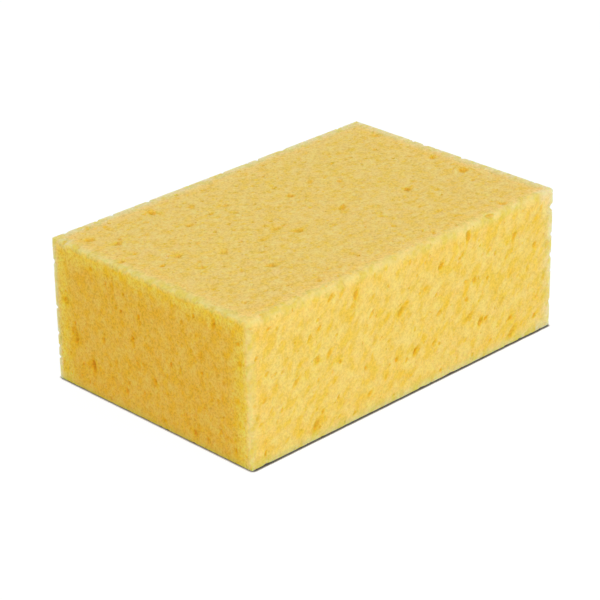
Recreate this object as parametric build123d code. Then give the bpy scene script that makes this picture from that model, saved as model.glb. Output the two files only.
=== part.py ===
# Grout sponge: a hand-sized block of yellow open-cell foam, sawn square on all six sides.
# The saw opens the larger cells of the foam: they show as pits in every face and as nicks in the edges.
# The origin is the middle of the base. X runs along the block, Y across it and Z up.
# All lengths are in millimetres.
import os
from math import atan2, cos, degrees, hypot, pi, radians, sin
from random import Random

from build123d import *

# Block
length = 170.0
width = 110.0
height = 61.0
edge_break = 0.4

# Pores in the faces
pore_spacing = 17.8
pore_width_min = 1.4
pore_width_max = 3.8
pore_wall = 1.5
cut_overrun = 1.0
placing_choices = 2
cell_seed = 20

# Nicks in the edges, and the one that stands out in the front right edge
nick_spacing = 34.0
nick_width_min = 1.2
nick_width_max = 2.4
front_nick_width = 3.0
front_nick_height = 53.0

# Shape of one opened cell, as shares of its width
cell_corners = 7
cell_depth_share = 0.62
corner_turn_share = 0.25
corner_reach_shares = (0.84, 1.12)
# Each ring of a cell's wall: how deep it lies, and how wide it still is
wall_ring_shares = ((0.0, 1.0), (0.5, 0.8), (1.0, 0.34))
# Small cells are more common than large ones
small_cell_power = 2.4

# The foam rose at a slant, so its cells are drawn out along one direction in the XZ plane
grain_rise_deg = 52.0
grain_stretch_share = 1.6


def foam_block():
    """The sawn block, with its edges just broken, standing on the XY plane."""
    block = Box(length, width, height, align=(Align.CENTER, Align.CENTER, Align.MIN))
    return chamfer(block.edges(), edge_break)


def sawn_faces():
    """The six faces: a plane at the middle of each, looking out of the block, and its two sides."""
    middle = height / 2
    faces = []
    for side in (-1, 1):
        broad = Plane((0, 0, middle + side * middle), x_dir=(1, 0, 0), z_dir=(0, 0, side))
        long_side = Plane((0, side * width / 2, middle), x_dir=(1, 0, 0), z_dir=(0, side, 0))
        short_end = Plane((side * length / 2, 0, middle), x_dir=(0, 1, 0), z_dir=(side, 0, 0))
        faces += [(broad, length, width), (long_side, length, height), (short_end, width, height)]
    return faces


def sawn_edges():
    """The twelve edges: a plane at the middle of each, looking out of the block, and the edge's length."""
    middle = height / 2
    edges = []
    for one in (-1, 1):
        for two in (-1, 1):
            level = middle + two * middle
            along_x = Plane((0, one * width / 2, level), x_dir=(1, 0, 0), z_dir=(0, one, two))
            along_y = Plane((one * length / 2, 0, level), x_dir=(0, 1, 0), z_dir=(one, 0, two))
            upright = upright_edge(one, two)
            edges += [(along_x, length), (along_y, width), (upright, height)]
    return edges


def upright_edge(side_x, side_y):
    """A plane at the middle of one of the four upright edges."""
    place = (side_x * length / 2, side_y * width / 2, height / 2)
    return Plane(place, x_dir=(0, 0, 1), z_dir=(side_x, side_y, 0))


def grain_in(plane):
    """The foam's grain as a face sees it: its shares along the face's X and Y and outwards."""
    rise = radians(grain_rise_deg)
    grain = Vector(cos(rise), 0, sin(rise))
    return grain.dot(plane.x_dir), grain.dot(plane.y_dir), grain.dot(plane.z_dir)


def cell_width(draw, least, most):
    """A random width, more often a small one."""
    return least + (most - least) * draw.random() ** small_cell_power


def pore_places(draw, side_x, side_y, stretch):
    """The middle and width of each pore in one face, clear of its neighbours and of the edges."""
    placed = []

    def clearance(choice):
        x, y, _, reach = choice
        gaps = [hypot(x - px, y - py) - reach - other - pore_wall for px, py, _, other in placed]
        return min(gaps, default=pore_wall)

    for _ in range(round(side_x * side_y / pore_spacing**2)):
        choices = []
        for _ in range(placing_choices):
            pore_width = cell_width(draw, pore_width_min, pore_width_max)
            reach = pore_width * stretch * max(corner_reach_shares) / 2
            margin = edge_break + pore_wall + reach
            x = (side_x / 2 - margin) * (2 * draw.random() - 1)
            y = (side_y / 2 - margin) * (2 * draw.random() - 1)
            choices.append((x, y, pore_width, reach))
        best = max(choices, key=clearance)
        if clearance(best) > 0:
            placed.append(best)
    return [(x, y, pore_width) for x, y, pore_width, _ in placed]


def cell_outline(draw, mouth_width, grain_turn=0.0, stretch=1.0):
    """The uneven mouth of a cell, as points about its middle, drawn out along the grain."""
    low, high = corner_reach_shares
    outline = []
    for corner in range(cell_corners):
        jitter = corner_turn_share * (2 * draw.random() - 1)
        angle = 2 * pi * (corner + jitter) / cell_corners
        reach = mouth_width / 2 * (low + (high - low) * draw.random())
        point = Vector(stretch * reach * cos(angle), reach * sin(angle))
        outline.append(point.rotate(Axis.Z, grain_turn))
    return outline


def opened_cell(outline, depth, lean=Vector()):
    """A cell with flat walls, which narrows from its mouth to its floor and leans with the grain."""
    rings = [[point + Vector(0, 0, cut_overrun) for point in outline]]
    for depth_share, size_share in wall_ring_shares:
        middle = (lean + Vector(0, 0, 1)) * (-depth * depth_share)
        rings.append([point * size_share + middle for point in outline])
    walls = [Face(Wire.make_polygon(ring)) for ring in (rings[0], rings[-1])]
    for upper, lower in zip(rings, rings[1:]):
        for here in range(len(outline)):
            after = (here + 1) % len(outline)
            corners = [upper[here], upper[after], lower[after], lower[here]]
            walls.append(Face(Wire.make_polygon(corners)))
    return Solid(Shell(walls))


def pores(plane, side_x, side_y, draw):
    """All the pores that the saw opened in one face."""
    grain_x, grain_y, grain_out = grain_in(plane)
    grain_turn = degrees(atan2(grain_y, grain_x))
    stretch = 1 + (grain_stretch_share - 1) * hypot(grain_x, grain_y)
    lean = Vector(grain_x, grain_y) * grain_out
    made = []
    for x, y, pore_width in pore_places(draw, side_x, side_y, stretch):
        outline = cell_outline(draw, pore_width, grain_turn, stretch)
        made.append(plane * Pos(x, y) * opened_cell(outline, pore_width * cell_depth_share, lean))
    return made


def nick(plane, place, nick_width, draw):
    """One cell that lies open on an edge, so far along it."""
    outline = cell_outline(draw, nick_width)
    return plane * Pos(place) * opened_cell(outline, nick_width * cell_depth_share)


def nicks(plane, edge_length, draw):
    """The nicks along one edge, each somewhere in its own equal stretch of it."""
    count = round(edge_length / nick_spacing)
    stretch = edge_length / count
    made = []
    for number in range(count):
        nick_width = cell_width(draw, nick_width_min, nick_width_max)
        play = stretch / 2 - nick_width
        place = stretch * (number + 1 / 2) - edge_length / 2 + play * (2 * draw.random() - 1)
        made.append(nick(plane, place, nick_width, draw))
    return made


def sponge():
    """The block with every opened cell cut into it."""
    draw = Random(cell_seed)
    cells = [pore for face in sawn_faces() for pore in pores(*face, draw)]
    print("pores", len(cells))
    cells += [cut for edge in sawn_edges() for cut in nicks(*edge, draw)]
    cells.append(nick(upright_edge(1, -1), front_nick_height - height / 2, front_nick_width, draw))
    print("pores and nicks", len(cells))
    return foam_block().cut(*cells)


os.makedirs("parts", exist_ok=True)
body = sponge()
print("solids", len(body.solids()), "volume", round(body.volume))
export_step(body, "parts/sponge_block.step", write_pcurves=False)
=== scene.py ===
# Grout sponge: the look of the foam block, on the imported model's frame. All lengths are in metres.
from math import cos, pi, radians, sin, tan
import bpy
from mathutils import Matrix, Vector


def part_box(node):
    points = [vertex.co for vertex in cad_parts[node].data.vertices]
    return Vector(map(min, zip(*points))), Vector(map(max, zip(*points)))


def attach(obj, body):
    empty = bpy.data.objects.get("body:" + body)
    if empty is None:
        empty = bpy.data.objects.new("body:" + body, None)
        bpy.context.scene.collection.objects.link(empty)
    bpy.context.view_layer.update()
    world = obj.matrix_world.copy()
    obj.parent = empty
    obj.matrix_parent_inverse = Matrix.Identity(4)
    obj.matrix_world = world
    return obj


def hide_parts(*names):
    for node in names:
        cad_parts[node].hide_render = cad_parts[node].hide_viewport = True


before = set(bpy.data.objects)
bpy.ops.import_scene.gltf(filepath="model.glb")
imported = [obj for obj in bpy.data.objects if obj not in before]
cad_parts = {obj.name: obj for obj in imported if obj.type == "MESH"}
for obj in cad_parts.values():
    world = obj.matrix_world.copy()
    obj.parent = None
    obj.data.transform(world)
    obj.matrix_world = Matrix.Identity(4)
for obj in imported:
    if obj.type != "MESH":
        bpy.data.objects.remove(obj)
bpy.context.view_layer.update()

from types import SimpleNamespace

import bmesh
import bpy
import numpy as np
from mathutils import Matrix, Vector, noise

mm = 0.001
seed = 7
draw = np.random.default_rng(seed)

# Block. Its edges are roundest along the front face, and sharp along the base and the far sides.
block_node = "sponge_block"
front_radius = 3.2 * mm
front_reach = 10.0 * mm
worn_radius = 1.8 * mm
worn_reach = 8.0 * mm
sharp_radius = 0.4 * mm
nicked_radius = 0.8 * mm
grid_step = 2.2 * mm
turn_steps = 4
sharp_angle = radians(40)
low, high = (np.array(corner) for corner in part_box(block_node))
middle = (low + high) / 2
half_size = (high - low) / 2

# The sawn faces swell and sink a little, and the edges are frayed
swell_depth = 0.22 * mm
swell_length = 6.0 * mm
fray_depth = 0.2 * mm
worn_fray_depth = 0.08 * mm
fray_length = 1.3 * mm
fray_reach = 1.5 * mm

# Foam cells, drawn out along one slanted direction in the XZ plane
grain_rise = radians(52)
grain_stretch_share = 1.5
streak_stretch_share = 2.3
grain = np.array([cos(grain_rise), 0, sin(grain_rise)])

# Pits and nicks of the CAD block
cad_edge_break = 0.4 * mm
flat_tolerance = 0.01 * mm
weld_distance = 0.001 * mm
nick_margin = 1.5 * mm

# An opened cell is a bowl: how many corners each of its rings has, and how wide and how high each ring
# is, as shares of the cell's half width and depth, from above its mouth to just above its floor
large_rings = (12, ((1.25, 0.14), (1.0, 0.0), (0.75, -0.11), (0.5, -0.22), (0.38, -0.58), (0.2, -0.88)))
medium_rings = (10, ((1.2, 0.2), (1.0, 0.0), (0.7, -0.22), (0.42, -0.5), (0.2, -0.85)))
small_rings = (8, ((1.2, 0.44), (1.0, 0.0), (0.65, -0.58), (0.3, -0.91)))
tiny_rings = (6, ((1.2, 0.44), (1.0, 0.0), (0.55, -0.7)))
nick_rings = (9, ((1.15, 0.3), (1.0, 0.0), (0.85, -0.5), (0.5, -0.9)))
# The CAD mouth's width as a share of the bowl's, and the bowl's depth as a share of the CAD mouth's width
pit_mouth_share = 0.5
pit_depth_share = 0.5
nick_mouth_share = 0.7
nick_depth_share = 0.8
dent_depth_share = 0.2
# How far the lid that closes a bowl stands above its first ring
lid_rise = 0.8 * mm
# How uneven a bowl's wall and floor are, and how far its stretch and its turn vary
wave_counts = np.array([2, 3, 4, 5])
wave_share = 0.1
rough_floor_share = 0.15
stretch_spread_shares = (0.75, 1.6)
turn_spread = 0.3

# Scattered cells: their rings, how many there are, their least and greatest width, and their least and
# greatest depth as shares of the width
small_cells = (
    (medium_rings, 420, 2.2 * mm, 4.4 * mm, (0.12, 0.22)),
    (small_rings, 600, 1.0 * mm, 2.2 * mm, (0.16, 0.32)),
    (tiny_rings, 1800, 0.6 * mm, 1.1 * mm, (0.25, 0.5)),
)
edge_cells = (nick_rings, 110, 0.8 * mm, 3.2 * mm, (0.25, 0.55))
small_width_power = 2
# Smaller cells beside each pit and nick, as shares of its width
satellite_count = 1
satellite_width_shares = (0.35, 0.65)
satellite_reach_shares = (0.5, 1.0)
triangle_limit = 195000
cutting_rounds = 3

# Camera, solved from the block's outline in the photograph
picture_width_px = 600
focal_length_px = 2401
sensor_width_mm = 36
camera_azimuth = radians(-44.45)
camera_elevation = radians(25.44)
camera_roll = radians(-0.94)
camera_distance = 972.5 * mm
aim_right = -3.46 * mm
aim_up = 20.56 * mm
clip_share = 0.01


def face_distances(points):
    """Each point's distance inside the nearer of the two faces across X, across Y and across Z."""
    return np.minimum(points - low, high - points)


def noise_share(points, length):
    """A smooth random value from 0 to 1 at each point."""
    values = np.array([noise.noise(Vector(point / length)) for point in points])
    return (values.clip(-1, 1) + 1) / 2


def worn_shares(points):
    """How worn the edges are near each point: not at all along the base and the far sides."""
    gaps = np.stack([points[:, 2] - low[2], high[0] - points[:, 0], high[1] - points[:, 1]])
    return (gaps.min(axis=0) / worn_reach).clip(0, 1)


def surface_sink(points):
    """How far the sawn surface lies inside the plain block, near each point."""
    edge_distance = np.sort(face_distances(points), axis=1)[:, 1]
    frayed_share = (1 - edge_distance / fray_reach).clip(0, 1)
    swell = swell_depth * (1 - frayed_share) * noise_share(points, swell_length)
    fray = fray_depth + (worn_fray_depth - fray_depth) * worn_shares(points)
    return swell + fray * frayed_share * noise_share(points, fray_length)


def edge_radii(points):
    """How round the block's edges are near each point: most along the front face."""
    front_shares = (1 - (points[:, 1] - low[1]) / front_reach).clip(0, 1)
    worn_radii = worn_radius + (front_radius - worn_radius) * front_shares
    return sharp_radius + (worn_radii - sharp_radius) * worn_shares(points)


def depth_inside(points):
    """Each point's depth below the plain block with rounded edges."""
    radii = edge_radii(points)
    beyond = np.abs(points - middle) - (half_size - radii[:, None])
    return radii - np.linalg.norm(beyond.clip(0), axis=1) - beyond.max(axis=1).clip(max=0)


def grid_lines(axis):
    """Places of the grid lines along one side: close together on the rounded edges, even between."""
    start_radius, end_radius = (sharp_radius, front_radius) if axis == 2 else (front_radius, sharp_radius)
    turn_shares = np.array([1 - tan(pi / 4 * step / turn_steps) for step in range(turn_steps, 0, -1)])
    start, end = low[axis], high[axis]
    count = round((end - start - start_radius - end_radius) / grid_step)
    even = np.linspace(start + start_radius, end - end_radius, count + 1)
    first = start + start_radius * turn_shares
    last = end - end_radius * turn_shares[::-1]
    return np.concatenate([first, even, last])


def box_grid():
    """Corners and quads of a box whose six faces are grids."""
    lines = [grid_lines(axis) for axis in range(3)]
    corners = []
    quads = []
    for axis in range(3):
        one, two = (axis + 1) % 3, (axis + 2) % 3
        across = len(lines[two])
        for side, level in enumerate((low[axis], high[axis])):
            start = len(corners)
            for u in lines[one]:
                for v in lines[two]:
                    corner = np.zeros(3)
                    corner[[axis, one, two]] = level, u, v
                    corners.append(corner)
            for i in range(len(lines[one]) - 1):
                for j in range(across - 1):
                    here = start + i * across + j
                    quad = [here, here + across, here + across + 1, here + 1]
                    quads.append(quad if side else quad[::-1])
    return np.array(corners), quads


def new_object(name, points, faces):
    mesh = bpy.data.meshes.new(name)
    mesh.from_pydata(points.tolist(), [], faces)
    made = bpy.data.objects.new(name, mesh)
    bpy.context.collection.objects.link(made)
    return made


def foam_block():
    """The sawn block, before its cells are opened."""
    corners, quads = box_grid()
    radii = edge_radii(corners)
    core = np.clip(corners, low + radii[:, None], high - radii[:, None])
    outward = corners - core
    outward /= np.linalg.norm(outward, axis=1)[:, None]
    reach = radii - surface_sink(corners)
    block = new_object("sponge", core + outward * reach[:, None], quads)
    shaper = bmesh.new()
    shaper.from_mesh(block.data)
    bmesh.ops.remove_doubles(shaper, verts=shaper.verts, dist=weld_distance)
    bmesh.ops.triangulate(shaper, faces=shaper.faces)
    shaper.to_mesh(block.data)
    shaper.free()
    return block


def cad_pits():
    """The mouth of each pit and nick in the CAD block, as points."""
    shaper = bmesh.new()
    shaper.from_mesh(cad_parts[block_node].data)
    bmesh.ops.remove_doubles(shaper, verts=shaper.verts, dist=weld_distance)
    shaper.verts.ensure_lookup_table()
    points = np.array([vert.co for vert in shaper.verts])
    near = np.sort(face_distances(points), axis=1)
    sunk = (near[:, 0] > flat_tolerance) & (near[:, 0] + near[:, 1] > cad_edge_break + flat_tolerance)
    left = set(np.flatnonzero(sunk).tolist())
    mouths = []
    while left:
        group = set()
        todo = [left.pop()]
        while todo:
            here = todo.pop()
            group.add(here)
            if sunk[here]:
                around = {edge.other_vert(shaper.verts[here]).index for edge in shaper.verts[here].link_edges}
                todo += around - group
        left -= group
        mouths.append(points[[member for member in sorted(group) if not sunk[member]]])
    shaper.free()
    return mouths


def unit(vector):
    return vector / np.linalg.norm(vector)


def outward_at(place, margin):
    """The way out of the block at a place on its surface: slanted within the margin of an edge."""
    sides = np.sign(place - middle)
    near = face_distances(place)
    return unit(sides * (near <= max(margin, near.min())))


def cell_at(place, outward, width, depth, rings):
    """An opened cell with its mouth on the surface, drawn out along the grain."""
    flat_grain = grain - outward * (grain @ outward)
    drawn_out = np.linalg.norm(flat_grain)
    stretch = 1 + (grain_stretch_share * draw.uniform(*stretch_spread_shares) - 1) * drawn_out
    along = unit(flat_grain)
    along = unit(along + np.cross(outward, along) * draw.normal(0, turn_spread))
    sink = depth_inside(place[None])[0] - surface_sink(place[None])[0]
    return place + outward * sink, outward, along, width / 2 * np.array([stretch, 1]), depth, rings


def is_nicked(place):
    """Whether the edge at a place is sharp and above the base, so that a cell leaves a nick in it."""
    return place[2] - low[2] > worn_reach and edge_radii(place[None])[0] < nicked_radius


def large_cells():
    """A bowl in each pit and nick of the CAD block, with a smaller one beside it."""
    cells = []
    for mouth in cad_pits():
        place = mouth.mean(axis=0)
        outward = outward_at(place, nick_margin)
        flat_grain = unit(grain - outward * (grain @ outward))
        across = np.cross(outward, flat_grain)
        width = np.ptp(mouth @ across)
        if np.count_nonzero(outward) == 1:
            mouth_share, depth_share, rings = pit_mouth_share, pit_depth_share, large_rings
        elif is_nicked(place):
            mouth_share, depth_share, rings = nick_mouth_share, nick_depth_share, nick_rings
        else:
            mouth_share, depth_share, rings = pit_mouth_share, dent_depth_share, medium_rings
        cells.append(cell_at(place, outward, width / mouth_share, width * depth_share, rings))
        for turn in draw.uniform(0, 2 * pi, satellite_count):
            reach = width * draw.uniform(*satellite_reach_shares)
            shift = flat_grain * cos(turn) * grain_stretch_share + across * sin(turn)
            size = width * draw.uniform(*satellite_width_shares)
            cells.append(cell_at(place + shift * reach, outward, size, size * pit_depth_share, small_rings))
    return cells


def random_width(least, most):
    """A random width, more often a small one."""
    return least + (most - least) * draw.random() ** small_width_power


def scattered_cells(rings, count, least, most, depth_shares):
    """Small cells anywhere on the block's surface."""
    size = high - low
    areas = np.array([size[1] * size[2], size[2] * size[0], size[0] * size[1]])
    cells = []
    for _ in range(count):
        axis = draw.choice(3, p=areas / areas.sum())
        width = random_width(least, most)
        place = draw.uniform(low, high)
        place[axis] = draw.choice((low[axis], high[axis]))
        cells.append(cell_at(place, outward_at(place, 0), width, width * draw.uniform(*depth_shares), rings))
    return cells


def cells_on_edges(rings, count, least, most, depth_shares):
    """Small cells along the sharp edges above the base, where they leave nicks."""
    size = high - low
    cells = []
    for _ in range(count):
        axis = draw.choice(3, p=size / size.sum())
        width = random_width(least, most)
        place = middle + half_size * draw.choice((-1, 1), 3)
        place[axis] = draw.uniform(low[axis], high[axis])
        outward = unit((place - middle) / half_size * (np.arange(3) != axis))
        if is_nicked(place):
            cells.append(cell_at(place, outward, width, width * draw.uniform(*depth_shares), rings))
    return cells


def waves(angles):
    """The uneven reach of a cell's wall round its middle, about 1."""
    turns = draw.uniform(0, 2 * pi, len(wave_counts))
    return 1 + wave_share * np.cos(np.outer(angles, wave_counts) + turns).sum(axis=1)


def bowl(centre, outward, along, half_widths, depth, rings):
    """Points and triangles of the closed bowl that is cut away for one cell."""
    corners, levels = rings
    across = np.cross(outward, along)
    angles = 2 * pi * np.arange(corners) / corners
    rim, core = waves(angles), waves(angles)
    rows = []
    for width_share, height_share in levels:
        reach = width_share * (core + (rim - core) * min(width_share, 1))
        flat = np.outer(reach * np.cos(angles) * half_widths[0], along)
        flat += np.outer(reach * np.sin(angles) * half_widths[1], across)
        rough = 1 + rough_floor_share * draw.uniform(-1, 1, corners) * (height_share < 0)
        rows.append(centre + flat + np.outer(depth * height_share * rough, outward))
    rows.insert(0, rows[0] + outward * lid_rise)
    ends = [centre + outward * (depth * levels[0][1] + lid_rise), centre - outward * depth]
    here = np.arange(corners)
    after = np.roll(here, -1)
    faces = [np.stack([np.full(corners, len(rows) * corners), here, after], axis=1)]
    for row in range(len(rows) - 1):
        upper, lower = row * corners, (row + 1) * corners
        faces.append(np.stack([upper + here, lower + here, lower + after], axis=1))
        faces.append(np.stack([upper + here, lower + after, upper + after], axis=1))
    last = (len(rows) - 1) * corners
    faces.append(np.stack([np.full(corners, len(rows) * corners + 1), last + after, last + here], axis=1))
    return np.concatenate(rows + [np.array(ends)]), np.concatenate(faces)


def cutting_order(cells):
    """The cells in rounds, so that no two in one round touch. Those that fit in none are left out."""
    most_uneven = 1 + wave_share * len(wave_counts)
    rounds = [([], [], []) for _ in range(cutting_rounds)]
    for cell in cells:
        centre, _, _, half_widths, _, rings = cell
        reach = half_widths.max() * rings[1][0][0] * most_uneven
        for members, centres, reaches in rounds:
            if not members:
                clear = True
            else:
                apart = np.linalg.norm(np.array(centres) - centre, axis=1)
                clear = np.all(apart > np.array(reaches) + reach)
            if clear:
                members.append(cell)
                centres.append(centre)
                reaches.append(reach)
                break
    return [members for members, _, _ in rounds]


def cut(block, cells):
    """Takes a set of cells that don't touch each other out of the block."""
    points = []
    faces = []
    start = 0
    for cell in cells:
        cell_points, cell_faces = bowl(*cell)
        points.append(cell_points)
        faces.append(cell_faces + start)
        start += len(cell_points)
    cutter = new_object("cells", np.concatenate(points), np.concatenate(faces).tolist())
    cutting = block.modifiers.new("cut", "BOOLEAN")
    cutting.operation = "DIFFERENCE"
    cutting.solver = "MANIFOLD"
    cutting.object = cutter
    apply_modifiers(block)
    bpy.data.objects.remove(cutter)


def apply_modifiers(piece):
    """Replaces a piece's mesh by the one that its modifiers make."""
    shown = piece.evaluated_get(bpy.context.evaluated_depsgraph_get())
    mesh = bpy.data.meshes.new_from_object(shown)
    piece.modifiers.clear()
    piece.data = mesh


def thin_out(piece):
    """Merges the smallest triangles of a piece until it keeps to the limit, and clears what that leaves."""
    triangles = sum(len(face.vertices) - 2 for face in piece.data.polygons)
    if triangles > triangle_limit:
        thinning = piece.modifiers.new("thin", "DECIMATE")
        thinning.ratio = triangle_limit / triangles
        apply_modifiers(piece)
        shaper = bmesh.new()
        shaper.from_mesh(piece.data)
        fins = [vert for vert in shaper.verts if len(vert.link_faces) < 2]
        bmesh.ops.delete(shaper, geom=fins, context="VERTS")
        bmesh.ops.dissolve_degenerate(shaper, edges=shaper.edges, dist=weld_distance)
        shaper.to_mesh(piece.data)
        shaper.free()


def mesh_points(mesh):
    points = np.empty(len(mesh.vertices) * 3)
    mesh.vertices.foreach_get("co", points)
    return points.reshape(-1, 3)


def note_depths(mesh):
    """Keeps each vertex's depth below the sawn surface, for the shader."""
    points = mesh_points(mesh)
    depths = (depth_inside(points) - surface_sink(points)).clip(0)
    mesh.attributes.new("cell_depth", "FLOAT", "POINT").data.foreach_set("value", depths)


# Map for baking
map_gap = 2.0 * mm


def add_map(mesh):
    """Lays the six faces side by side on a map, each seen straight on."""
    length, width, height = high - low
    right = length + map_gap
    far_right = right + height + map_gap
    above = width + map_gap
    end_level = length + map_gap
    # For each axis: which axes run along the map's two, and where its low and its high face lie
    layout = (
        (2, 1, ((right, end_level), (far_right, end_level))),
        (2, 0, ((right, 0), (far_right, 0))),
        (0, 1, ((0, 0), (0, above))),
    )
    scale = 1 / (far_right + height)
    points = mesh_points(mesh)
    uv = np.zeros((len(mesh.loops), 2))
    for face in mesh.polygons:
        corners = points[list(face.vertices)]
        centre = corners.mean(axis=0)
        axis = face_distances(centre).argmin()
        side = int(centre[axis] > middle[axis])
        one, two, origins = layout[axis]
        along = corners[:, one] - low[one]
        if (axis == 0) == (side == 1):
            along = high[one] - corners[:, one]
        place = np.stack([along, corners[:, two] - low[two]], axis=1) + np.array(origins[side])
        uv[list(face.loop_indices)] = place * scale
    mesh.uv_layers.new(name="OFBake").data.foreach_set("uv", uv.ravel())


# Places of the colour sockets among a Mix node's inputs and outputs
mix_share_input, mix_first_input, mix_second_input = 0, 6, 7
mix_colour_output = 2


def srgb(red, green, blue):
    """A colour as pictures hold it, from 0 to 255, as the linear colour that a shader takes."""
    shares = np.array([red, green, blue]) / 255
    linear = np.where(shares <= 0.04045, shares / 12.92, ((shares + 0.055) / 1.055) ** 2.4)
    return (*linear.tolist(), 1.0)


def new_material(name):
    material = bpy.data.materials.new(name)
    material.use_nodes = True
    material.node_tree.nodes.clear()
    return material, material.node_tree


def add_node(tree, kind, inputs=None, **settings):
    """Adds a shader node, sets its options, and sets or links its inputs."""
    made = tree.nodes.new("ShaderNode" + kind)
    for name, value in settings.items():
        setattr(made, name, value)
    for name, value in (inputs or {}).items():
        if isinstance(value, bpy.types.NodeSocket):
            tree.links.new(value, made.inputs[name])
        else:
            made.inputs[name].default_value = value
    return made


def calculate(tree, operation, result, *values):
    """Two or more values taken together, one after the other, by Math nodes."""
    for value in values:
        result = add_node(tree, "Math", {0: result, 1: value}, operation=operation).outputs[0]
    return result


def vector_math(tree, operation, first, second):
    """The result of a Vector Math node."""
    return add_node(tree, "VectorMath", {0: first, 1: second}, operation=operation).outputs[0]


def ramp(tree, value, start, end, out_start=0.0, out_end=1.0):
    """A value taken smoothly from one range to another."""
    inputs = {"Value": value, "From Min": start, "From Max": end, "To Min": out_start, "To Max": out_end}
    return add_node(tree, "MapRange", inputs, interpolation_type="SMOOTHSTEP").outputs["Result"]


def between(tree, share, first, second):
    """The first value where a share is 0, the second where it is 1, and smoothly between."""
    return ramp(tree, share, 0.0, 1.0, first, second)


def mix_colours(tree, share, first, second, blending="MIX"):
    """The first colour, blended with a share of the second."""
    inputs = {mix_share_input: share, mix_first_input: first, mix_second_input: second}
    mixed = add_node(tree, "Mix", inputs, data_type="RGBA", blend_type=blending)
    return mixed.outputs[mix_colour_output]


def tint(tree, share, colour, factors):
    """A colour multiplied by a share of some factors."""
    return mix_colours(tree, share, colour, factors, "MULTIPLY")


def noise_texture(tree, place, length, detail):
    """A cloudy random pattern."""
    return add_node(tree, "TexNoise", {"Vector": place, "Scale": 1 / length, "Detail": detail}).outputs


def cell_texture(tree, place, length):
    """A random pattern of cells."""
    return add_node(tree, "TexVoronoi", {"Vector": place, "Scale": 1 / length}).outputs


def along_grain(tree, place, stretch_share):
    """A place as it is seen by a pattern that is drawn out along the grain."""
    inputs = {"Vector": place, "Rotation": (0, -grain_rise, 0), "Scale": (stretch_share, 1, 1)}
    return add_node(tree, "Mapping", inputs, vector_type="TEXTURE").outputs[0]


# Colours of the foam, as in the photograph. The ends' deeper orange is painted shade, and the ends' rim
# colour and the pale edge colours are painted light
side_colour = srgb(249, 212, 110)
broad_colour = srgb(253, 208, 113)
end_shade_colour = srgb(252, 195, 76)
end_rim_glow_colour = srgb(255, 213, 82)
edge_glow_colour = srgb(235, 216, 138)
far_edge_glow_colour = srgb(237, 220, 163)
# What the foam's colour is multiplied by on pale threads, in specks, in shallow cells and in pores. In the
# opened cells the gold and the pore tints are painted shade
pale_tint = (1.03, 1.08, 1.35, 1.0)
speck_tint = (0.895, 0.875, 0.75, 1.0)
gold_and_pit_shade_tint = (0.975, 0.915, 0.38, 1.0)
pore_shade_tint = (0.93, 0.93, 0.82, 1.0)
# The same for the dark and the bright of the finest grain: on the long sides, and on the other faces
dark_grain_tints = ((0.905, 0.89, 0.815, 1.0), (0.873, 0.845, 0.673, 1.0))
bright_grain_tints = ((1.07, 1.08, 1.13, 1.0), (1.146, 1.183, 1.41, 1.0))

# Patterns in the foam: how coarse each is, how broken up, and how far the swirl pulls them about
swirl_length = 1.6 * mm
swirl_detail = 0.0
swirl_reach = 1.6 * mm
cell_length = 1.3 * mm
fleck_length = 2.0 * mm
streak_length = 3.4 * mm
mottle_length = 3.5 * mm
mottle_detail = 1.0
fine_length = 0.85 * mm
fine_detail = 3.0
noise_middle_share = 0.5
noise_range_shares = (0.3, 0.7)

# Where the colours of the ends and of the broad faces start and where they are full, inside their edges
end_side_margin = 1.5 * mm
end_base_overrun = 8.0 * mm
end_rim_reach = 3.0 * mm
end_reaches = (1.0 * mm, 11.0 * mm)
broad_reach = 4.0 * mm
face_blend = 1.0 * mm

# Paler edges, painted light where light shows through the thin foam: how far in they reach on each kind of
# face, how near the edge they are palest, and how pale
side_edge_reach = 5.0 * mm
end_edge_reach = 2.4 * mm
broad_edge_extra = 1.0 * mm
edge_full_distance = 0.3 * mm
edge_most_share = 0.9
# The same for the far edges, which are paler still: more painted light
side_far_reach = 9.0 * mm
broad_far_reach = 7.0 * mm
end_far_reach = 4.5 * mm
far_full_distance = -0.5 * mm
far_most_share = 0.87
end_far_share = 0.6
# How near a far side the far edges count, how much the pale border wanders, and how high it fades on the ends
far_side_reaches = (10.0 * mm, 8.0 * mm)
ragged_reach = 1.2 * mm
base_reach = 6.0 * mm

# How much of the coarse pattern, the rough grain and the pits' colour the broad faces have
broad_coarse_share = 0.7
broad_rough_share = 0.5
broad_pit_share = 0.75
# From where to where spots and pits fade towards an edge, and what is left of them there
off_edge_reaches = (0.5 * mm, 3.0 * mm)
off_edge_least_share = 0.15

# Which of a pattern's values bring each tint out, from where it starts to where it is full, and how strong
pale_range_shares = (0.48, 0.68)
pale_most_share = 0.8
gold_range_shares = (0.52, 0.32)
gold_most_share = 0.7
speck_range_shares = (0.55, 0.05)
spot_chance_shares = (0.5, 0.9)
spot_range_shares = (0.5, 0.1)
fleck_most_share = 1.0
streak_most_share = 0.88
# Specks are weakest in the pale of the mottling and strongest in its gold: each on smooth and on rough faces
speck_mottle_shares = (0.65, 0.35)
speck_weakest_shares = (0.12, 0.5)
speck_strongest_shares = (0.5, 0.9)

# Depths in an opened cell at which its golden rim and its darker floor, both painted shade, start and are
# full
halo_depths = (0.03 * mm, 0.4 * mm)
halo_most_share = 0.95
pore_depths = (0.35 * mm, 1.3 * mm)

# Fine grain, which is weaker at the edges, and how the surface takes light
grain_reaches = (0.5 * mm, 4.0 * mm)
grain_least_share = 0.5
fine_relief_share = 0.8
relief_share = 0.6
relief_depth = 0.5 * mm
roughness_shares = (0.88, 1.0)
specular_share = 0.15
scatter_reach = 6.0 * mm
scatter_shares = (1.0, 0.62, 0.25)


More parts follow.
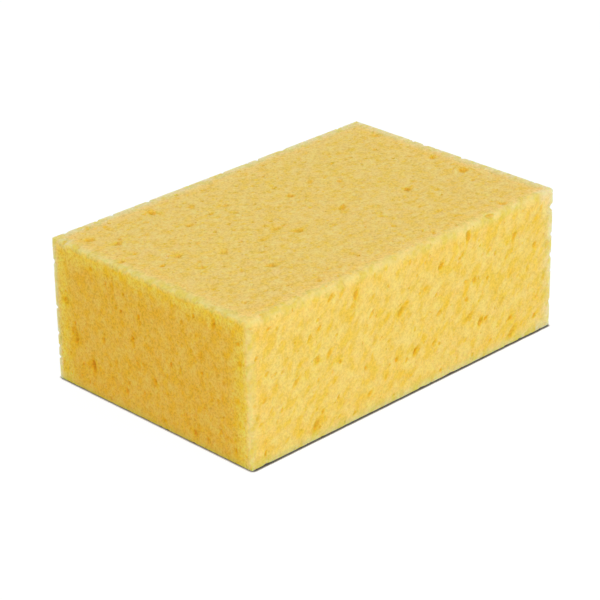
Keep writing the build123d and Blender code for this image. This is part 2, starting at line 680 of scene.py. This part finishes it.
def foam_patterns(tree, place):
    """The random patterns in the foam: cells, flecks, streaks, coarse mottling and fine grain."""
    swirl = noise_texture(tree, place, swirl_length, swirl_detail)["Color"]
    swirl = vector_math(tree, "SUBTRACT", swirl, [noise_middle_share] * 3)
    swirl = vector_math(tree, "MULTIPLY", swirl, [swirl_reach] * 3)
    swirled = vector_math(tree, "ADD", place, swirl)
    grained = along_grain(tree, swirled, grain_stretch_share)
    streaked = along_grain(tree, swirled, streak_stretch_share)
    smooth = along_grain(tree, place, grain_stretch_share)
    return SimpleNamespace(
        cells=cell_texture(tree, grained, cell_length)["Distance"],
        flecks=cell_texture(tree, grained, fleck_length),
        streaks=cell_texture(tree, streaked, streak_length),
        mottle=noise_texture(tree, smooth, mottle_length, mottle_detail)["Fac"],
        fine=noise_texture(tree, swirled, fine_length, fine_detail)["Fac"],
    )


def inside_distances(tree, place):
    """How far a place lies inside the low faces, the high faces and the nearer of both: along X, Y and Z."""
    from_low = vector_math(tree, "SUBTRACT", place, low.tolist())
    to_high = vector_math(tree, "SUBTRACT", high.tolist(), place)
    nearer = vector_math(tree, "MINIMUM", from_low, to_high)
    return [add_node(tree, "SeparateXYZ", {0: gaps}).outputs for gaps in (from_low, to_high, nearer)]


def face_shares(tree, place):
    """How far a place is from the block's edges, and how much it belongs to each kind of face."""
    from_low, to_high, nearer = inside_distances(tree, place)
    near_x, near_y, height = from_low
    far_x, far_y, below_top = to_high
    in_x, in_y, in_z = nearer
    near_xy = calculate(tree, "MINIMUM", in_x, in_y)
    far_xy = calculate(tree, "MAXIMUM", in_x, in_y)
    edge_distance = calculate(tree, "MAXIMUM", near_xy, calculate(tree, "MINIMUM", far_xy, in_z))

    from_sides = calculate(tree, "SUBTRACT", in_y, end_side_margin)
    from_base = calculate(tree, "ADD", height, end_base_overrun)
    end_edge = calculate(tree, "MINIMUM", from_sides, from_base, below_top)
    end_inset = calculate(tree, "SUBTRACT", end_edge, in_x)
    end_share = ramp(tree, end_inset, -face_blend, face_blend)
    broad_inset = calculate(tree, "SUBTRACT", near_xy, in_z)
    broad_share = ramp(tree, broad_inset, 0.0, broad_reach)
    rough_share = calculate(tree, "MAXIMUM", end_share, between(tree, broad_share, 0.0, broad_rough_share))

    off_end_share = calculate(tree, "SUBTRACT", 1.0, end_share)
    above_base_share = calculate(tree, "MAXIMUM", ramp(tree, height, 0.0, base_reach), off_end_share)
    # The far band is only on the faces that the photograph shows: the front, the near end and the top
    far_gap = calculate(tree, "MINIMUM", far_x, far_y)
    near_gap = calculate(tree, "MINIMUM", near_x, near_y, below_top)
    near_face_share = ramp(tree, calculate(tree, "SUBTRACT", far_gap, near_gap), -face_blend, 0.0)
    far_side_share = calculate(tree, "MULTIPLY", ramp(tree, far_gap, *far_side_reaches), near_face_share)
    return SimpleNamespace(
        edge_distance=edge_distance,
        off_edge_share=ramp(tree, edge_distance, *off_edge_reaches, off_edge_least_share, 1.0),
        end_inset=end_inset,
        end_share=end_share,
        broad_share=broad_share,
        coarse_share=between(tree, broad_share, 1.0, broad_coarse_share),
        rough_share=rough_share,
        above_base_share=above_base_share,
        far_side_share=far_side_share,
    )


def sawn_colour(tree, faces):
    """The foam's plain colour on the long sides, the broad faces and the ends: the ends get a deeper orange
    as painted shade, and a paler rim as painted light.
    """
    colour = mix_colours(tree, faces.broad_share, side_colour, broad_colour)
    # Painted light: a paler rim just inside the ends' edges, where light from the lit faces shows through the
    # foam
    colour = mix_colours(tree, ramp(tree, faces.end_inset, 0.0, end_rim_reach), colour, end_rim_glow_colour)
    # Painted shade: the ends are given a deeper orange than the long sides
    return mix_colours(tree, ramp(tree, faces.end_inset, *end_reaches), colour, end_shade_colour)


def with_edge_glow(tree, colour, faces, patterns):
    """The colour made paler along the edges, and palest along the far ones: painted light showing through the
    thin foam there.
    """
    wander = ramp(tree, patterns.mottle, *noise_range_shares, -ragged_reach, ragged_reach)
    ragged = calculate(tree, "ADD", faces.edge_distance, wander)
    edge_reach = between(tree, faces.end_share, side_edge_reach, end_edge_reach)
    edge_reach = calculate(tree, "ADD", edge_reach, between(tree, faces.broad_share, 0.0, broad_edge_extra))
    edge_share = ramp(tree, ragged, edge_reach, edge_full_distance, 0.0, edge_most_share)
    edge_share = calculate(tree, "MULTIPLY", edge_share, faces.above_base_share)
    # Painted light: a pale band along the edges
    colour = mix_colours(tree, edge_share, colour, edge_glow_colour)
    far_reach = between(tree, faces.broad_share, side_far_reach, broad_far_reach)
    far_reach = between(tree, faces.end_share, far_reach, end_far_reach)
    far_share = ramp(tree, ragged, far_reach, far_full_distance, 0.0, far_most_share)
    far_share = calculate(tree, "MULTIPLY", far_share, faces.far_side_share, faces.above_base_share)
    far_share = calculate(tree, "MULTIPLY", far_share, between(tree, faces.end_share, 1.0, end_far_share))
    # Painted light, stronger, along the far edges
    return mix_colours(tree, far_share, colour, far_edge_glow_colour)


def with_mottling(tree, colour, faces, patterns):
    """The colour with pale threads, gold between them, and specks."""
    pale_share = ramp(tree, patterns.mottle, *pale_range_shares, 0.0, pale_most_share)
    pale_share = calculate(tree, "MULTIPLY", pale_share, faces.coarse_share)
    colour = tint(tree, pale_share, colour, pale_tint)
    gold_share = ramp(tree, patterns.mottle, *gold_range_shares, 0.0, gold_most_share)
    gold_share = calculate(tree, "MULTIPLY", gold_share, faces.coarse_share)
    colour = tint(tree, gold_share, colour, gold_and_pit_shade_tint)
    weakest = between(tree, faces.rough_share, *speck_weakest_shares)
    strongest = between(tree, faces.rough_share, *speck_strongest_shares)
    strength = ramp(tree, patterns.mottle, *speck_mottle_shares, weakest, strongest)
    speck_share = calculate(tree, "MULTIPLY", ramp(tree, patterns.cells, *speck_range_shares), strength)
    return tint(tree, speck_share, colour, speck_tint)


def with_spots(tree, colour, spots, most_share, *place_shares):
    """The colour with golden spots in some cells of a pattern, where all the place's shares allow it."""
    chance = add_node(tree, "SeparateColor", {0: spots["Color"]}).outputs[0]
    chosen_share = ramp(tree, chance, *spot_chance_shares)
    spot_share = ramp(tree, spots["Distance"], *spot_range_shares, 0.0, most_share)
    spot_share = calculate(tree, "MULTIPLY", spot_share, chosen_share, *place_shares)
    return tint(tree, spot_share, colour, gold_and_pit_shade_tint)


def with_pit_shade(tree, colour, faces):
    """The colour made golden and darker down the opened cells: painted shade in the hollows."""
    depth = add_node(tree, "Attribute", attribute_name="cell_depth").outputs["Fac"]
    pit_share = between(tree, faces.broad_share, 1.0, broad_pit_share)
    pit_share = calculate(tree, "MULTIPLY", pit_share, faces.off_edge_share)
    halo_shade_share = ramp(tree, depth, *halo_depths, 0.0, halo_most_share)
    # Painted shade: a golden rim down the opened cells
    colour = tint(tree, calculate(tree, "MULTIPLY", halo_shade_share, pit_share), colour, gold_and_pit_shade_tint)
    pore_shade_share = calculate(tree, "MULTIPLY", ramp(tree, depth, *pore_depths), pit_share)
    # Painted shade: a darker floor deep in the opened cells
    return tint(tree, pore_shade_share, colour, pore_shade_tint)


def with_fine_grain(tree, colour, faces, patterns):
    """The colour with the finest dark and bright grain."""
    dark = mix_colours(tree, faces.rough_share, *dark_grain_tints)
    bright = mix_colours(tree, faces.rough_share, *bright_grain_tints)
    factors = mix_colours(tree, ramp(tree, patterns.fine, *noise_range_shares), dark, bright)
    grain_share = ramp(tree, faces.edge_distance, *grain_reaches, grain_least_share, 1.0)
    return tint(tree, grain_share, colour, factors)


def foam_material():
    """Matte foam that lets light in, coloured by where a place is on the block and by its cells."""
    material, tree = new_material("yellow_foam")
    place = add_node(tree, "TexCoord").outputs["Object"]
    patterns = foam_patterns(tree, place)
    faces = face_shares(tree, place)
    colour = sawn_colour(tree, faces)
    colour = with_edge_glow(tree, colour, faces, patterns)
    colour = with_mottling(tree, colour, faces, patterns)
    fleck_place_share = calculate(tree, "MAXIMUM", faces.end_share, faces.broad_share)
    fleck_place_shares = (fleck_place_share, faces.off_edge_share)
    colour = with_spots(tree, colour, patterns.flecks, fleck_most_share, *fleck_place_shares)
    streak_place_shares = (faces.coarse_share, faces.off_edge_share)
    colour = with_spots(tree, colour, patterns.streaks, streak_most_share, *streak_place_shares)
    colour = with_pit_shade(tree, colour, faces)
    colour = with_fine_grain(tree, colour, faces, patterns)

    fine_relief = calculate(tree, "MULTIPLY", patterns.fine, fine_relief_share)
    relief = calculate(tree, "ADD", patterns.cells, fine_relief)
    bump = add_node(tree, "Bump", {"Height": relief, "Strength": relief_share, "Distance": relief_depth})
    shader = add_node(tree, "BsdfPrincipled", {
        "Base Color": colour,
        "Normal": bump.outputs[0],
        "Roughness": ramp(tree, patterns.fine, *noise_range_shares, *roughness_shares),
        "Specular IOR Level": specular_share,
        "Subsurface Weight": 1.0,
        "Subsurface Scale": scatter_reach,
        "Subsurface Radius": scatter_shares,
    })
    add_node(tree, "OutputMaterial", {"Surface": shader.outputs[0]})
    return material


# Light
sky_strength = 0.95
key_azimuth = radians(-12)
key_elevation = radians(35)
key_distance = 1.4
key_size = 0.9
key_power = 4.1

# Floor: white where it is seen, with a painted dark contact shadow line where the block stands on it
floor_half = 3.0
floor_drop = 0.02 * mm
floor_albedo = 0.72
floor_side_light = 0.11
floor_front_light = 0.24
front_light_blend = 10.0 * mm
floor_seen_albedo = 0.12
floor_glow = 0.93
white = (1.0, 1.0, 1.0, 1.0)
contact_reach = 1.7 * mm
contact_tilt = (0.15, 0.78, 0.6)
contact_range_shares = (0.5, 0.9)
contact_shadow_colour = (1.0, 0.88, 0.66, 1.0)


def direct_view(tree):
    """1 for what the camera sees, straight or through glass or a mirror, and 0 for light on its way."""
    path = add_node(tree, "LightPath").outputs
    seen_rays = [path[name] for name in ("Is Camera Ray", "Is Glossy Ray", "Is Transmission Ray")]
    return calculate(tree, "MAXIMUM", *seen_rays)


def open_sky(tree):
    """How open the floor is towards the front and the back: least close to the block."""
    tilt_x, tilt_y, tilt_z = contact_tilt
    openness = 1.0
    for side in (-1, 1):
        tilt = add_node(tree, "CombineXYZ", {0: side * tilt_x, 1: side * tilt_y, 2: tilt_z})
        shade = add_node(tree, "AmbientOcclusion", {"Distance": contact_reach, "Normal": tilt.outputs[0]})
        openness = calculate(tree, "MINIMUM", openness, shade.outputs["AO"])
    return openness


def white_floor():
    """A wide floor that is white to the eye, throws soft light on the block and has a painted dark contact
    shadow under its edges.
    """
    square = ((-1, -1), (1, -1), (1, 1), (-1, 1))
    corners = np.array([[x * floor_half, y * floor_half, -floor_drop] for x, y in square])
    floor = new_object("floor", corners, [[0, 1, 2, 3]])
    material, tree = new_material("white_floor")
    seen = direct_view(tree)
    matt = add_node(tree, "BsdfDiffuse", {"Color": between(tree, seen, floor_albedo, floor_seen_albedo)})
    # Painted contact shadow: the floor's glow fades to a warm dark where the block stands close
    clear_share = ramp(tree, open_sky(tree), *contact_range_shares)
    clear = calculate(tree, "MULTIPLY", clear_share, floor_glow)
    colour = mix_colours(tree, clear_share, contact_shadow_colour, white)
    place = add_node(tree, "TexCoord").outputs["Object"]
    across = add_node(tree, "SeparateXYZ", {0: place}).outputs["Y"]
    front = float(low[1])
    blend = (front - front_light_blend, front + front_light_blend)
    light = ramp(tree, across, *blend, floor_front_light, floor_side_light)
    glow = add_node(tree, "Emission", {"Color": colour, "Strength": between(tree, seen, light, clear)})
    both = add_node(tree, "AddShader", {0: matt.outputs[0], 1: glow.outputs[0]})
    add_node(tree, "OutputMaterial", {"Surface": both.outputs[0]})
    floor.data.materials.append(material)


def direction(azimuth, elevation):
    """The way from the block at an angle round from the front and an angle up."""
    level = cos(elevation)
    return Vector((sin(azimuth) * level, -cos(azimuth) * level, sin(elevation)))


def studio_light():
    """An even pale sky, and one broad lamp in front."""
    world = bpy.data.worlds.new("studio")
    bpy.context.scene.world = world
    world.use_nodes = True
    tree = world.node_tree
    tree.nodes.clear()
    sky = add_node(tree, "Background", {"Strength": between(tree, direct_view(tree), sky_strength, 1.0)})
    add_node(tree, "OutputWorld", {"Surface": sky.outputs[0]})
    lamp = bpy.data.lights.new("key", "AREA")
    lamp.size = key_size
    lamp.energy = key_power
    key = bpy.data.objects.new("key", lamp)
    way = direction(key_azimuth, key_elevation)
    key.location = way * key_distance
    key.rotation_euler = way.to_track_quat("Z", "Y").to_euler()
    bpy.context.collection.objects.link(key)


def photo_camera():
    """The camera of the photograph."""
    back = direction(camera_azimuth, camera_elevation)
    right = Vector((cos(camera_azimuth), sin(camera_azimuth), 0))
    up = back.cross(right)
    eye = back * camera_distance + right * aim_right + up * aim_up
    turned_right = right * cos(camera_roll) + up * sin(camera_roll)
    turned_up = up * cos(camera_roll) - right * sin(camera_roll)
    lens = bpy.data.cameras.new("camera")
    lens.sensor_width = sensor_width_mm
    lens.lens = focal_length_px / picture_width_px * sensor_width_mm
    lens.clip_start = camera_distance * clip_share
    camera = bpy.data.objects.new("camera", lens)
    axes = Matrix((turned_right, turned_up, back)).transposed()
    camera.matrix_world = Matrix.Translation(eye) @ axes.to_4x4()
    bpy.context.collection.objects.link(camera)
    bpy.context.scene.camera = camera


block = foam_block()
cells = large_cells()
for group in small_cells:
    cells += scattered_cells(*group)
cells += cells_on_edges(*edge_cells)
for members in cutting_order(cells):
    cut(block, members)
thin_out(block)
note_depths(block.data)
add_map(block.data)
block.data.shade_smooth()
block.data.set_sharp_from_angle(angle=sharp_angle)
block.data.materials.clear()
block.data.materials.append(foam_material())
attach(block, "root")
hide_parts(block_node)
white_floor()
studio_light()
photo_camera()
bpy.context.scene.view_settings.view_transform = "Standard"
